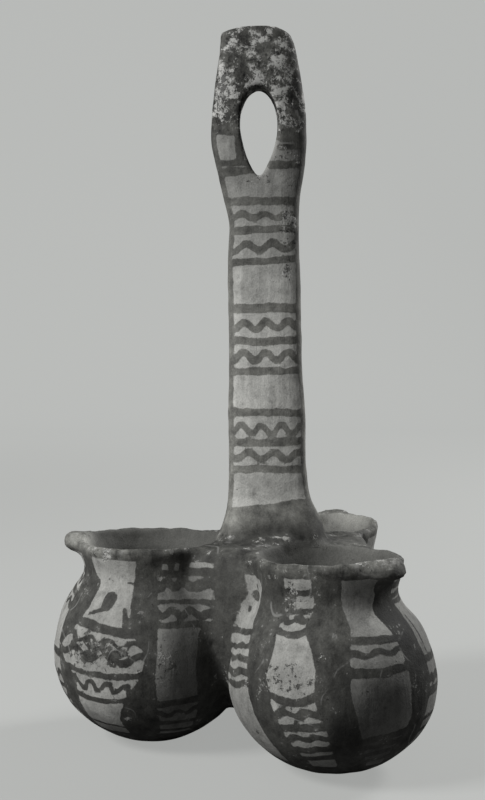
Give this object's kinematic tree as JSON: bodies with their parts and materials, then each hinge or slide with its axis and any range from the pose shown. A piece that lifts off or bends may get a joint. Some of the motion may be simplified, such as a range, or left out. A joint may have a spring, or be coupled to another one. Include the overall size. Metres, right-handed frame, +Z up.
{
  "type": "coupled pottery vessel",
  "caption": "Round handmade jars joined round the foot of a tall strap handle with an egg-shaped hanging hole, in painted pale pottery.",
  "frame": {"origin": "middle of the footprint, on the surface that the jars stand on", "axes": "+Z up along the handle, front towards -Y, +X to the right seen from the front"},
  "size_m": [0.1576, 0.1652, 0.3],
  "materials": {
    "painted_pottery": "matt pale slip with dark painted bands and wavy lines, worn"
  },
  "bodies": {
    "root": {"coupled_vessel": "painted_pottery"}
  },
  "joints": []
}
